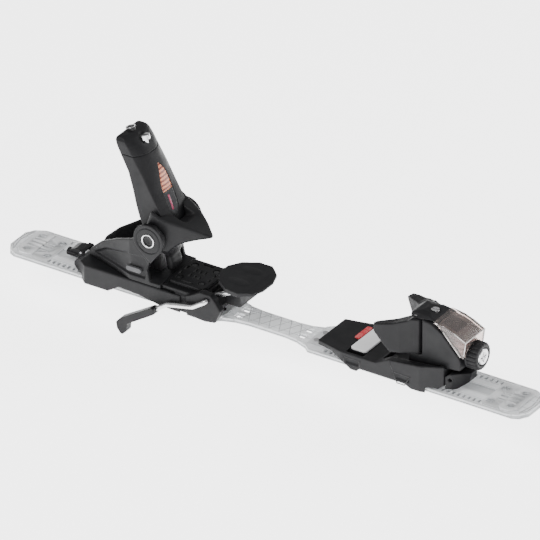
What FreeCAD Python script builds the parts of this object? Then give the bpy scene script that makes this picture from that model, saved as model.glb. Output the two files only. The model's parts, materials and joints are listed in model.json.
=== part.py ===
import FreeCAD, Part
import math
import os
import Sketcher

# A downhill ski binding on a rail plate: toe piece, heel piece and ski brake.
# Millimetres. +X points to the ski's tip, +Y to the left, +Z up.
# The origin is the centre of the rail plate's underside, which lies on the ski.

doc = FreeCAD.newDocument("ski_binding")
Vector = FreeCAD.Vector
sheet = doc.addObject("Spreadsheet::Sheet", "dims")

DIMENSIONS = {
    # rail plate
    "plate_end": 332.0, "plate_half": 30.5, "plate_top": 5.5, "plate_corner": 18.0,
    "rail_half": 28.0, "rail_lip": 2.4,
    "strip_front": 52.0, "strip_rear": -54.0, "strip_half": 15.0, "strip_end": 22.0, "strip_top": 4.2,
    "tongue_long": 14.0, "tongue_thick": 2.8, "rivet_radius": 2.0,
    "rack_inner": 19.5, "rack_outer": 26.0, "rack_pitch": 6.5, "rack_slot": 3.2, "rack_depth": 2.6,
    "screw_hole": 2.75, "screw_head": 5.0, "screw_sink": 2.0,
    "pattern_x": 297.0, "pattern_long": 26.0, "pattern_wide": 30.0,
    # clearances
    "gap": 0.3, "running": 0.06,
    # shared base section
    "channel_half": 32.2, "channel_top": 7.5, "skirt_foot": 0.7, "skirt_high": 4.8,
    # toe piece
    "toe_rear": 72.0, "toe_front": 232.0, "toe_half": 34.8, "toe_floor": 16.0, "toe_deck": 19.5,
    "toe_rim": 28.0,
    "hollow_rear": 155.0, "hollow_front": 226.0, "hollow_half": 25.5, "toe_screw_x": 167.0,
    "toe_screw_y": 10.0,
    "toe_screw_radius": 2.0, "panel_depth": 1.6,
    "afd_x": 121.0, "afd_long": 20.0, "afd_half": 24.0, "afd_top": 21.5,
    "hinge_x": 190.0, "hinge_y": 15.5, "hinge_pin": 2.5,
    "wing_low": 38.5, "wing_high": 80.0, "wing_tip_x": 147.0, "wing_tip_y": 39.5,
    "head_rear": 200.2, "head_half": 21.0, "head_low": 16.4, "head_top": 81.2, "cover_low": 80.4,
    "knob_axis": 46.0, "knob_back": 250.0, "knob_face": 266.0, "knob_radius": 16.0,
    "height_x": 204.0,
    "insert_radius": 9.5, "rod_radius": 3.0, "toe_spring_radius": 7.0, "toe_spring_wire": 1.25,
    "lock_x": 238.0, "lock_z": 20.0, "lock_pin": 2.0, "lock_knuckle": 8.0,
    # heel piece
    "track_rear": -246.0, "track_front": -99.0, "track_half": 36.6, "track_top": 24.0,
    "worm_z": 10.8, "latch_x": -243.5, "latch_z": 20.0,
    "axle_x": -138.0, "axle_z": 81.0, "axle_radius": 8.0, "axle_hollow": 4.6, "axle_half": 40.0,
    "boss_radius": 19.0, "arm_outer": 36.0, "arm_inner": 31.5, "floor_low": 24.3, "floor_top": 29.0,
    "cup_outer": 30.8, "cup_inner": 24.4,
    "lever_half": 24.0, "hub_radius": 15.0, "cam_radius": 13.0, "cam_half": 8.5,
    "bore_radius": 8.0, "heel_spring_radius": 5.9, "heel_spring_wire": 1.3,
    "pad_rear": -122.0, "pad_front": -76.0, "pad_half": 26.0, "pad_top": 33.5,
    # brake
    "pivot_x": -64.0, "pivot_z": 29.0, "wire_radius": 2.75,
    "rod_x": -40.0, "rod_z": 41.0, "tower_inner": 27.5, "tower_outer": 36.4,
    "arm_y": 40.5, "foot_x": -166.0, "foot_z": -24.0,
    "pedal_rear": -66.0, "pedal_front": -9.0, "pedal_half": 35.0, "pedal_low": 44.4, "pedal_top": 51.0,
}


class Dim:
    """A length that carries its number and the sheet expression it comes from."""

    def __init__(self, number, text):
        self.number = number
        self.text = text

    def join(self, sign, other, number):
        return Dim(number, "(%s %s %s)" % (self.text, sign, of(other).text))

    def __add__(self, other):
        return self.join("+", other, self.number + of(other).number)

    def __sub__(self, other):
        return self.join("-", other, self.number - of(other).number)

    def __mul__(self, other):
        return self.join("*", other, self.number * of(other).number)

    def __radd__(self, other):
        return of(other) + self

    def __rsub__(self, other):
        return of(other) - self

    def __rmul__(self, other):
        return of(other) * self

    def __neg__(self):
        return self * -1


def of(value):
    return value if isinstance(value, Dim) else Dim(float(value), "%.4f" % value)


class Names:
    pass


d = Names()
for row, (alias, number) in enumerate(DIMENSIONS.items(), start=1):
    sheet.set("A%d" % row, alias)
    sheet.set("B%d" % row, "%g" % number)
    sheet.setAlias("B%d" % row, alias)
    setattr(d, alias, Dim(number, "dims." + alias))
doc.recompute()

nodes = []


def node(name, thing):
    """Names a finished sub-part; its file takes the same name."""
    thing.Label = name
    nodes.append(thing)
    return thing


def bind(thing, prop, value):
    thing.setExpression(prop, of(value).text)


def box(name, x, y, z):
    """A block between two planes along each axis, given as (low, high) pairs."""
    block = doc.addObject("Part::Box", name)
    for prop, letter, (low, high) in (("Length", "x", x), ("Width", "y", y), ("Height", "z", z)):
        bind(block, prop, of(high) - low)
        bind(block, "Placement.Base." + letter, low)
    return block


TURNS = {
    "X": FreeCAD.Rotation(Vector(0, 1, 0), 90),
    "Y": FreeCAD.Rotation(Vector(1, 0, 0), -90),
    "Z": FreeCAD.Rotation(),
}


def cylinder(name, axis, x, y, z, radius):
    """A round bar along an axis; the coordinate along that axis is a (low, high) pair."""
    bar = doc.addObject("Part::Cylinder", name)
    bar.Placement = FreeCAD.Placement(Vector(), TURNS[axis])
    for letter, value in (("x", x), ("y", y), ("z", z)):
        low = value
        if isinstance(value, tuple):
            low = value[0]
            bind(bar, "Height", of(value[1]) - low)
        bind(bar, "Placement.Base." + letter, low)
    bind(bar, "Radius", radius)
    return bar


def slanted(name, start, direction, radius, length):
    """A round bar from a point along a direction."""
    bar = doc.addObject("Part::Cylinder", name)
    bar.Placement = FreeCAD.Placement(start, FreeCAD.Rotation(Vector(0, 0, 1), direction))
    bind(bar, "Radius", radius)
    bind(bar, "Height", length)
    return bar


def outline(body, role, offset, points):
    """A closed outline of straight lines on one of the body's own planes, pinned to the sheet."""
    sketch = body.newObject("Sketcher::SketchObject", body.Name + "_outline")
    plane = [f for f in body.Origin.OriginFeatures if f.Role == role][0]
    sketch.AttachmentSupport = [(plane, "")]
    sketch.MapMode = "FlatFace"
    bind(sketch, "AttachmentOffset.Base.z", offset)
    spots = [Vector(of(a).number, of(b).number, 0) for a, b in points]
    count = len(spots)
    for i in range(count):
        sketch.addGeometry(Part.LineSegment(spots[i], spots[(i + 1) % count]), False)
    for i in range(count):
        sketch.addConstraint(Sketcher.Constraint("Coincident", i, 2, (i + 1) % count, 1))
    for i, (a, b) in enumerate(points):
        for kind, value in (("DistanceX", of(a)), ("DistanceY", of(b))):
            k = sketch.addConstraint(Sketcher.Constraint(kind, -1, 1, i, 1, value.number))
            sketch.setExpression("Constraints[%d]" % k, value.text)
    return sketch


def prism(name, role, span, points):
    """A PartDesign body: an outline padded over a (low, high) span of the third axis.

    XY_Plane outlines are (x, y), XZ_Plane outlines (x, z) and YZ_Plane outlines (y, z).
    """
    low, high = of(span[0]), of(span[1])
    body = doc.addObject("PartDesign::Body", name)
    offset = -high if role == "XZ_Plane" else low
    sketch = outline(body, role, offset, points)
    pad = body.newObject("PartDesign::Pad", name + "_pad")
    pad.Profile = sketch
    bind(pad, "Length", high - low)
    return body


def both(points):
    """An outline that is the same on both sides of y = 0, from its right half."""
    return points + [(x, -of(y)) for x, y in reversed(points) if of(y).number != 0]


def both_sides(points):
    """A (y, z) outline that is the same on both sides of y = 0, from its left half."""
    return points + [(-of(y), z) for y, z in reversed(points) if of(y).number != 0]


def cut(name, base, *tools):
    tool = tools[0] if len(tools) == 1 else fuse(name + "_tools", *tools)
    result = doc.addObject("Part::Cut", name)
    result.Base = base
    result.Tool = tool
    return result


def fuse(name, *things):
    result = doc.addObject("Part::MultiFuse", name)
    result.Shapes = list(things)
    return result


def common(name, *things):
    result = doc.addObject("Part::MultiCommon", name)
    result.Shapes = list(things)
    return result


def group(name, *things):
    """Identical pieces that share one node."""
    result = doc.addObject("Part::Compound", name)
    result.Links = list(things)
    return result


def carve(name, base, *tools):
    """Takes several tools away one after the other."""
    for step, tool in enumerate(tools, start=1):
        base = cut("%s_step%d" % (name, step), base, tool)
    return base


def rounded(name, source, radius, along):
    """Rounds the edges that run along one direction."""
    doc.recompute()
    result = doc.addObject("Part::Fillet", name)
    result.Base = source
    picked = []
    for number, edge in enumerate(source.Shape.Edges, start=1):
        if len(edge.Vertexes) == 2:
            run = edge.Vertexes[1].Point.sub(edge.Vertexes[0].Point)
            if run.Length > 0.5 and abs(run.normalize().dot(along)) > 0.999:
                picked.append((number, radius, radius))
    result.Edges = picked
    return result


def solid(name, shape):
    result = doc.addObject("Part::Feature", name)
    result.Shape = shape
    return result


def spring(name, start, direction, radius, wire, length, coils):
    """A helical coil from a point along a direction."""
    helix = Part.Wire(Part.makeHelix(length / coils, length, radius).Edges)
    section = Part.Wire(Part.makeCircle(wire, Vector(radius, 0, 0), Vector(0, 1, 0.1)))
    coil = helix.makePipeShell([section], True, True)
    result = solid(name, coil)
    result.Placement = FreeCAD.Placement(start, FreeCAD.Rotation(Vector(0, 0, 1), direction))
    return result


def bent_wire(name, points, radius, bend):
    """A round wire along straight runs joined by tangent arcs."""
    edges = []
    here = points[0]
    for before, corner, after in zip(points, points[1:], points[2:]):
        into = corner.sub(before).normalize()
        out = after.sub(corner).normalize()
        turn = math.acos(max(-1.0, min(1.0, into.dot(out))))
        cutback = bend * math.tan(turn / 2)
        first = corner.sub(into * cutback)
        last = corner.add(out * cutback)
        inward = out.sub(into).normalize()
        middle = corner.add(inward * (bend / math.cos(turn / 2) - bend))
        edges.append(Part.LineSegment(here, first).toShape())
        edges.append(Part.Arc(first, middle, last).toShape())
        here = last
    edges.append(Part.LineSegment(here, points[-1]).toShape())
    path = Part.Wire(edges)
    section = Part.Wire(Part.makeCircle(radius, points[0], points[1].sub(points[0])))
    return solid(name, path.makePipeShell([section], True, False))


# ---------------------------------------------------------------- rail plate

def rail_plate(name, sign):
    """One rail plate: sign is +1 for the front plate and -1 for the rear one."""
    inner = d.strip_front if sign > 0 else -d.strip_rear
    low = inner * sign if sign > 0 else -d.plate_end
    high = d.plate_end if sign > 0 else inner * sign
    half = d.plate_half
    bar = prism(name + "_bar", "YZ_Plane", (low, high),
                [(-d.rail_half, 0), (-d.rail_half, d.rail_lip), (-half, d.rail_lip), (-half, d.plate_top),
                 (half, d.plate_top), (half, d.rail_lip), (d.rail_half, d.rail_lip), (d.rail_half, 0)])
    plan = prism(name + "_plan", "XY_Plane", (-1, 8),
                 both([(inner * sign, -d.strip_end), ((inner + 10) * sign, -half),
                       ((d.plate_end - d.plate_corner) * sign, -half),
                       ((d.plate_end - 6) * sign, -(half - 6)), (d.plate_end * sign, -(half - 16))]))
    shaped = common(name + "_shape", bar, plan)
    tools = []
    # rack slots, in two rows near the long edges
    start = (d.strip_front.number if sign > 0 else -d.strip_rear.number) + 26
    length = d.plate_end.number - start - 26
    slots = doc.addObject("PartDesign::Body", name + "_slots")
    sketch = slots.newObject("Sketcher::SketchObject", name + "_slot")
    plane = [f for f in slots.Origin.OriginFeatures if f.Role == "XY_Plane"][0]
    sketch.AttachmentSupport = [(plane, "")]
    sketch.MapMode = "FlatFace"
    bind(sketch, "AttachmentOffset.Base.z", d.plate_top - d.rack_depth)
    x0 = sign * start if sign > 0 else sign * start - d.rack_slot.number
    for side in (-1, 1):
        ys = sorted([side * d.rack_inner.number, side * d.rack_outer.number])
        corners = [Vector(x0, ys[0], 0), Vector(x0 + d.rack_slot.number, ys[0], 0),
                   Vector(x0 + d.rack_slot.number, ys[1], 0), Vector(x0, ys[1], 0)]
        for a, b in zip(corners, corners[1:] + corners[:1]):
            sketch.addGeometry(Part.LineSegment(a, b), False)
    pad = slots.newObject("PartDesign::Pad", name + "_slot_pad")
    pad.Profile = sketch
    bind(pad, "Length", d.rack_depth + 1)
    count = int(length // d.rack_pitch.number)
    row = slots.newObject("PartDesign::LinearPattern", name + "_slot_row")
    row.Originals = [pad]
    row.Direction = ([f for f in slots.Origin.OriginFeatures if f.Role == "X_Axis"][0], [""])
    row.Reversed = sign < 0
    bind(row, "Length", d.rack_pitch * (count - 1))
    row.Occurrences = count
    slots.Tip = row
    tools.append(slots)
    # the long middle channel
    channel = sorted([sign * (start - 2), sign * (start + length + 2)])
    tools.append(box(name + "_channel", channel, (-7, 7), (d.plate_top - 1.6, d.plate_top + 1)))
    # the pocket that the connecting strip's tongue sits in, with its rivet holes
    pocket = sorted([(inner * sign).number - 1 * sign, ((inner + d.tongue_long) * sign).number])
    tools.append(box(name + "_pocket", (pocket[0], pocket[1]), (-d.strip_half - 0.2, d.strip_half + 0.2),
                     (-1, d.tongue_thick + 0.1)))
    for side in (-1, 1):
        tools.append(cylinder(name + "_rivet%d" % side, "Z", (inner + d.tongue_long * 0.5) * sign,
                              d.strip_half * 0.6 * side, (-1, 8), d.rivet_radius + 0.05))
    # holes for the ski's screws
    for i in (-1, 1):
        for j in (-1, 1):
            x = d.pattern_x * sign + d.pattern_long * 0.5 * i
            y = d.pattern_wide * 0.5 * j
            tools.append(cylinder(name + "_hole%d%d" % (i, j), "Z", x, y, (-1, 8), d.screw_hole))
            tools.append(cylinder(name + "_sink%d%d" % (i, j), "Z", x, y, (d.plate_top - d.screw_sink, 8),
                                  d.screw_head))
    return cut(name + "_plate", shaped, *tools)


node("front_rail_plate", rail_plate("front_rail", 1))
node("rear_rail_plate", rail_plate("rear_rail", -1))

strip = prism("strip_bar", "XY_Plane", (0, d.strip_top),
              both([(d.strip_rear + 0.2, -d.strip_end), (-40, -17), (-24, -d.strip_half),
                    (22, -d.strip_half), (38, -17), (d.strip_front - 0.2, -d.strip_end)]))
tongue = box("strip_tongue", (d.strip_rear - d.tongue_long + 0.3, d.strip_front + d.tongue_long - 0.3),
             (-d.strip_half, d.strip_half), (0, d.tongue_thick))
windows = []
for end, x in (("rear", d.strip_rear + 8), ("front", d.strip_front - 18)):
    for side in (-1, 1):
        y0 = 3 if side > 0 else -11
        windows.append(box("strip_gap_%s%d" % (end, side), (x, x + 10), (y0, y0 + 8), (-1, 8)))
rivet_holes = []
rivets = []
hole_radius = d.rivet_radius + 0.05
half_tongue = d.tongue_long * 0.5
for end, x in (("rear", d.strip_rear - half_tongue), ("front", d.strip_front + half_tongue)):
    for side in (-1, 1):
        y = d.strip_half * 0.6 * side
        rivet_holes.append(cylinder("strip_hole_%s%d" % (end, side), "Z", x, y, (-1, 8), hole_radius))
        shank = cylinder("rivet_shank_%s%d" % (end, side), "Z", x, y, (0.2, d.plate_top + 0.05),
                         d.rivet_radius)
        head = cylinder("rivet_head_%s%d" % (end, side), "Z", x, y,
                        (d.plate_top + 0.05, d.plate_top + 1.2), d.rivet_radius + 1.5)
        rivets.append(fuse("rivet_%s%d" % (end, side), shank, head))
node("connecting_strip", cut("strip", fuse("strip_body", strip, tongue), *(windows + rivet_holes)))
node("strip_rivets", group("rivets", *rivets))


def runner(name, x):
    """A steel clip that rides over the rail's flange and hooks under it on both sides."""
    outer = d.channel_half - 0.2
    inner = d.plate_half + d.gap
    lip = d.rail_half + 0.4
    top = d.channel_top - 0.1
    roof = d.plate_top + d.gap
    foot = d.skirt_foot
    return prism(name, "YZ_Plane", x,
                 [(-outer, foot), (-outer, top), (outer, top), (outer, foot), (lip, foot),
                  (lip, d.rail_lip - d.gap), (inner, d.rail_lip - d.gap), (inner, roof),
                  (-inner, roof), (-inner, d.rail_lip - d.gap), (-lip, d.rail_lip - d.gap), (-lip, foot)])


# ---------------------------------------------------------------- toe piece

toe_side = prism("toe_side", "XZ_Plane", (-d.toe_half, d.toe_half),
                 [(d.toe_rear, 13.5), (d.toe_rear, d.toe_deck), (150, d.toe_deck), (166, d.toe_rim),
                  (d.toe_front, 35), (d.toe_front, 12), (214, d.skirt_foot), (194, d.skirt_foot),
                  (186, d.skirt_high), (130, d.skirt_high), (126, d.skirt_foot), (118, d.skirt_foot),
                  (108, 7), (92, 14)])
toe_plan = prism("toe_plan", "XY_Plane", (-1, 40),
                 both([(d.toe_rear, -27), (88, -30.5), (106, -d.toe_half), (206, -d.toe_half),
                       (d.toe_front, -27)]))
rim_gap = box("rim_gap", (d.hollow_front - 1, d.toe_front + 1), (-23, 23), (30.9, 60))
toe_hollow = box("toe_hollow", (d.hollow_rear, d.hollow_front), (-d.hollow_half, d.hollow_half),
                 (d.toe_floor, 40))
toe_channel = box("toe_channel", (d.toe_rear - 1, d.toe_front + 1), (-d.channel_half, d.channel_half),
                  (-1, d.channel_top))
afd_pocket = box("afd_pocket", (d.afd_x - d.afd_long * 0.5 - 1, d.afd_x + d.afd_long * 0.5 + 1),
                 (-31, 31), (d.afd_top - 6.5, 40))
knuckle = fuse("toe_knuckle",
               box("knuckle_block", (d.toe_front - 2, d.lock_x), (-d.lock_knuckle, d.lock_knuckle),
                   (16.2, 23.8)),
               cylinder("knuckle_eye", "Y", d.lock_x, (-d.lock_knuckle, d.lock_knuckle), d.lock_z, 3.8))
knuckle_bore = cylinder("knuckle_bore", "Y", d.lock_x, (-30, 30), d.lock_z, d.lock_pin + 0.05)
screw_spots = [(i, j, d.toe_screw_x + 7 * i, d.toe_screw_y * j) for i in (-1, 1) for j in (-1, 1)]
screw_bores = [cylinder("toe_screw_bore%d%d" % (i, j), "Z", x, y, (5, 20),
                        d.toe_screw_radius + 0.05) for i, j, x, y in screw_spots]
side_notches = []
for x in (112, 176):
    for side in (-1, 1):
        bottom = (d.toe_half - d.panel_depth) * side
        depth = (bottom, 40) if side > 0 else (-40, bottom)
        side_notches.append(box("toe_notch%d_%d" % (x, side + 1), (x, x + 17), depth, (7.6, 14)))
toe_block = fuse("toe_knuckled", common("toe_block", toe_side, toe_plan), knuckle)
node("toe_base", cut("toe_shell", toe_block, toe_hollow, rim_gap, toe_channel, afd_pocket, knuckle_bore,
                     *(screw_bores + side_notches)))
toe_runner = runner("toe_clip", (150, 210))
runner_trim = box("toe_runner_trim", (149, 192), (-40, 40), (0, 5.6))
runner_bores = [cylinder("toe_runner_bore%d%d" % (i, j), "Z", x, y, (5, 9),
                         d.toe_screw_radius + 0.05) for i, j, x, y in screw_spots]
node("toe_runner", cut("toe_clip_drilled", toe_runner, runner_trim, *runner_bores))
toe_screws = []
for i, j, x, y in screw_spots:
    shank = cylinder("toe_screw_shank%d%d" % (i, j), "Z", x, y, (5.9, d.toe_floor + 0.05),
                     d.toe_screw_radius)
    head = cylinder("toe_screw_head%d%d" % (i, j), "Z", x, y, (d.toe_floor + 0.05, d.toe_floor + 2), 3.6)
    toe_screws.append(fuse("toe_screw%d%d" % (i, j), shank, head))
node("toe_base_screws", group("toe_screws", *toe_screws))

# anti-friction pad: a carriage that slides sideways and its white top plate
afd_low = d.afd_top - 6.2
afd_x = (d.afd_x - d.afd_long * 0.5, d.afd_x + d.afd_long * 0.5)
afd_y = (-d.afd_half, d.afd_half)
node("afd_carriage", box("afd_slider", afd_x, afd_y, (afd_low, d.afd_top - 2.6)))
node("afd_plate", rounded("afd_top", box("afd_slab", afd_x, afd_y, (d.afd_top - 2.6, d.afd_top)), 4.0,
                          Vector(0, 0, 1)))
trim_slab = box("trim_slab", (103, 109.6), (-3, 24), (d.toe_deck + 0.05, d.toe_deck + 1.6))
node("afd_trim", rounded("trim_top", trim_slab, 2.0, Vector(0, 0, 1)))

# toe head: everything that rises and falls with the height screw
head_side = prism("head_side", "XZ_Plane", (-d.head_half, d.head_half),
                  [(d.head_rear, d.head_low), (d.head_rear, d.head_top), (212, 79.6), (225, 72),
                   (247, 48), (249, 44), (249, 33), (241, 31.6), (223.5, 31.6), (223.5, d.head_low)])
hinge_foot = prism("hinge_foot", "XY_Plane", (d.head_low, d.wing_low - 0.5),
                   both([(d.hinge_x - 9, -12), (d.hinge_x - 6, -d.head_half),
                         (d.head_rear + 1, -d.head_half)]))
spring_bore = cylinder("toe_spring_bore", "X", (206, 252), 0, d.knob_axis, 10.2)
rod_bore = cylinder("toe_rod_bore", "X", (198, 210), 0, d.knob_axis, d.rod_radius + 0.25)
pin_bores = [cylinder("pin_bore%d" % s, "Z", d.hinge_x, d.hinge_y * s, (d.head_low + 3, 60),
                      d.hinge_pin + 0.05) for s in (-1, 1)]
window_seat = prism("window_seat", "XZ_Plane", (-14.2, 14.2),
                    [(213, 66), (213, 90), (255, 90), (255, 56), (232, 56)])
height_bore = cylinder("height_bore", "Z", d.height_x, 0, (60, 90), 3.4)
node("toe_housing", cut("head_shell", fuse("head_body", head_side, hinge_foot), spring_bore, rod_bore,
                        window_seat, height_bore, *pin_bores))

top_plan = prism("top_plan", "XY_Plane", (70, 90),
                 both([(181, -7), (184, -17), (190, -20), (204, -18.5), (213.2, -15)]))
top_side = prism("top_side", "XZ_Plane", (-d.head_half, d.head_half),
                 [(180, d.cover_low), (199.9, d.cover_low), (199.9, 81.5), (212.1, 79.9), (213.3, 79.2),
                  (213.3, 82), (204, 85.4), (196, 86.2), (186, 84.8), (180, 81.6)])
top_crown = prism("top_crown", "YZ_Plane", (170, 220),
                  both_sides([(0, 86.2), (8, 85.8), (14, 84.5), (20.5, 80.4), (20.5, 78)]))
top_bores = [cylinder("top_pin_bore%d" % s, "Z", d.hinge_x, d.hinge_y * s, (79, 82.8), d.hinge_pin + 0.05)
             for s in (-1, 1)]
top_screw_bore = cylinder("top_screw_bore", "Z", d.height_x, 0, (78, 90), 4.9)
node("toe_top_cover", cut("top_cap", common("top_block", top_plan, top_side, top_crown), top_screw_bore,
                          *top_bores))

wing_pins = [cylinder("wing_pin%d" % s, "Z", d.hinge_x, d.hinge_y * s, (d.head_low + 3.2, 82.6),
                      d.hinge_pin) for s in (-1, 1)]
node("wing_pins", group("pins", *wing_pins))

height_shank = cylinder("height_shank", "Z", d.height_x, 0, (62, 82), 3.1)
height_head = cylinder("height_head", "Z", d.height_x, 0, (81.6, 86.1), 4.6)
height_slot = box("height_slot", (190, 220), (-0.9, 0.9), (84.6, 90))
node("toe_height_screw", cut("height_screw", fuse("height_bolt", height_shank, height_head), height_slot))

window_outer = prism("window_outer", "XZ_Plane", (-19, 19),
                     [(213.6, 81.9), (226, 73), (248, 49), (252, 48), (255, 68.6), (240, 76),
                      (230, 79.7)])
window_inner = prism("window_inner", "XZ_Plane", (-17, 17),
                     [(217, 78), (226.5, 70), (247, 46), (250, 40), (252.9, 67.4), (239, 73.8),
                      (229.5, 77.5)])
window_keep = prism("window_keep", "XZ_Plane", (-21.3, 21.3),
                    [(200, 20), (200, 81.5), (212.2, 79.9), (225.3, 72.3), (247.3, 48.3), (249.4, 44),
                     (249.4, 20)])
window_knob_space = cylinder("window_knob_space", "X", (d.knob_back - 0.4, d.knob_face), 0, d.knob_axis,
                             d.knob_radius + 0.6)
node("toe_window", cut("window_shell", window_outer, window_inner, window_keep, window_knob_space))
node("toe_scale", box("toe_scale_plate", (228, 241), (-8, 8), (59.2, 60.6)))

knob_ring = cylinder("knob_ring", "X", (d.knob_back, d.knob_face - 1), 0, d.knob_axis, d.knob_radius)
knob_bore = cylinder("knob_bore", "X", (d.knob_back + 4, d.knob_face + 1), 0, d.knob_axis,
                     d.insert_radius + 0.05)
knob_eye = cylinder("knob_eye", "X", (d.knob_back - 1, d.knob_face), 0, d.knob_axis, 4.05)
knob_flutes = []
for k in range(12):
    angle = math.radians(30 * k + 15)
    reach = d.knob_radius + 1.2
    knob_flutes.append(cylinder("knob_flute%d" % k, "X", (d.knob_back + 3, d.knob_face + 1),
                                reach * math.cos(angle), d.knob_axis + reach * math.sin(angle), 2.2))
node("toe_knob", cut("knob", knob_ring, knob_bore, knob_eye, *knob_flutes))
insert_face = cylinder("insert_face", "X", (d.knob_back + 4.05, d.knob_face), 0, d.knob_axis,
                       d.insert_radius)
insert_stem = cylinder("insert_stem", "X", (d.knob_back - 3.5, d.knob_back + 5), 0, d.knob_axis, 4)
insert_slot = box("insert_slot", (d.knob_face - 3, d.knob_face + 1), (-1.3, 1.3), (34, 58))
node("toe_knob_insert", cut("insert", fuse("insert_bar", insert_face, insert_stem), insert_slot))

rod = cylinder("tie_rod", "X", (195, 245.6), 0, d.knob_axis, d.rod_radius)
cross = box("tie_cross", (188.5, 195.5), (-5.2, 5.2), (d.knob_axis - 7, d.knob_axis + 7))
node("toe_tension_rod", fuse("tension_rod", rod, cross))
seat = cylinder("toe_seat_disc", "X", (239.5, 243), 0, d.knob_axis, 9.6)
seat_hole = cylinder("toe_seat_hole", "X", (238, 245), 0, d.knob_axis, d.rod_radius + 0.06)
node("toe_indicator", cut("toe_seat", seat, seat_hole))
node("toe_spring", spring("toe_coil", Vector(208.2, 0, d.knob_axis.number), Vector(1, 0, 0),
                          d.toe_spring_radius.number, d.toe_spring_wire.number, 29.5, 7))

for side, name in ((-1, "right"), (1, "left")):
    plan = [(d.wing_tip_x, 33.5), (151, d.wing_tip_y), (160, 38), (178, 31.5), (190, 24.6), (196.6, 21.5),
            (198.3, 15.5), (196, 9), (184, 8.6), (167, 21)]
    wing_plan = prism(name + "_wing_plan", "XY_Plane", (d.wing_low, d.wing_high),
                      [(x, of(y) * side) for x, y in plan])
    wing_side = prism(name + "_wing_side", "XZ_Plane", (-50, 50),
                      [(146, 67.4), (151, 70.2), (170, 73.4), (186, 78.4), (189, d.wing_high + 1),
                       (201, d.wing_high + 1), (201, d.wing_low - 1), (168.6, d.wing_low - 1)])
    bore = cylinder(name + "_wing_bore", "Z", d.hinge_x, d.hinge_y * side, (30, 90),
                    d.hinge_pin + d.running)
    node(name + "_wing", cut(name + "_wing_shape", common(name + "_wing_body", wing_plan, wing_side),
                             bore))
    pad_plan = [(168.3, 18.9), (180.5, 9.9), (179, 8.4), (166.9, 17.1)]
    node(name + "_wing_pad", prism(name + "_pad_plan", "XY_Plane", (d.wing_low + 3, d.wing_low + 13),
                                   [(x, of(y) * side) for x, y in pad_plan]))

# length lock at the nose: a lever whose tooth drops into the rail's rack
lock_side = prism("lock_side", "XZ_Plane", (-29, 29),
                  [(233.3, 9), (233.3, 24), (237.5, 27), (247, 26.5), (254, 24.5), (252, 14), (243, 8)])
lock_plan = prism("lock_plan", "XY_Plane", (0, 40),
                  both([(233, -26.5), (240, -23), (248, -14), (254, -5)]))
lock_bore = cylinder("lock_bore", "Y", d.lock_x, (-30, 30), d.lock_z, d.lock_pin + d.running)
lock_slot = box("lock_slot", (230, 242.4), (-d.lock_knuckle - 0.4, d.lock_knuckle + 0.4), (15.4, 40))
node("toe_lock_lever", cut("lock_lever", common("lock_block", lock_side, lock_plan), lock_bore,
                           lock_slot))
node("toe_lock_pin", cylinder("lock_pin", "Y", d.lock_x, (-20, 20), d.lock_z, d.lock_pin))

# ---------------------------------------------------------------- heel piece

track_side = prism("track_side", "XZ_Plane", (-d.track_half, d.track_half),
                   [(d.track_rear, 9), (d.track_rear, 13.5), (-238, 20), (-231, d.track_top),
                    (d.track_front, d.track_top), (d.track_front + 0.6, 3), (-127, 4), (-150, 8),
                    (-178, 10), (-192, d.skirt_foot), (-222, d.skirt_foot)])
track_plan = prism("track_plan", "XY_Plane", (-1, 40),
                   both([(d.track_rear, -20), (-222, -d.track_half), (-90, -d.track_half)]))
track_channel = box("track_channel", (d.track_rear - 1, -80), (-d.channel_half, d.channel_half),
                    (-1, d.channel_top))
relief_y = {-1: (-34.8, -31.8), 1: (31.8, 34.8)}
track_relief = [box("track_relief%d" % s, (-114, -80), relief_y[s], (-1, 30)) for s in (-1, 1)]
spring_bores = [cylinder("track_spring_bore%d" % s, "X", (-226, -150), 14 * s, 15.6, 5.6)
                for s in (-1, 1)]
worm_bore = cylinder("worm_bore", "X", (-250, -205), 0, d.worm_z, 2.9)
ear_y = {-1: (-11, -8.6), 1: (8.6, 11)}
latch_ears = [box("latch_ear%d" % s, (-247, -240), ear_y[s], (12, 22.4)) for s in (-1, 1)]
ear_bore = cylinder("ear_bore", "Y", d.latch_x, (-20, 20), d.latch_z, 1.25)
track_block = fuse("track_eared", common("track_block", track_side, track_plan), *latch_ears)
node("heel_track", cut("track", track_block, track_channel, worm_bore, ear_bore,
                       *(track_relief + spring_bores)))
node("heel_runner", runner("heel_clip", (-226, -190)))
pressure_springs = []
for side in (-1, 1):
    start = Vector(-224, 14 * side, 15.6)
    pressure_springs.append(spring("pressure_spring%d" % side, start, Vector(1, 0, 0), 4.1, 0.95, 70, 16))
node("forward_pressure_springs", group("pressure_springs", *pressure_springs))
worm_head = cylinder("worm_head", "X", (-266, -248), 0, d.worm_z, 4.6)
worm_stem = cylinder("worm_stem", "X", (-248.5, -208), 0, d.worm_z, 2.6)
worm_slot = box("worm_slot", (-267, -263.5), (-0.9, 0.9), (4, 18))
node("forward_pressure_screw", cut("worm", fuse("worm_bar", worm_head, worm_stem), worm_slot))
latch_side = prism("latch_side", "XZ_Plane", (-8.2, 8.2),
                   [(-259, 16.4), (-259, 18), (-252, 21.4), (-243.5, 22.2), (-241, 21.2), (-241, 19),
                    (-246.4, 17.8), (-248, 16.4)])
latch_bore = cylinder("latch_bore", "Y", d.latch_x, (-13, 13), d.latch_z, 1.26)
node("heel_lock_lever", cut("latch", latch_side, latch_bore))
node("heel_lock_pin", cylinder("latch_pin", "Y", d.latch_x, (-11.2, 11.2), d.latch_z, 1.2))

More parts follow.
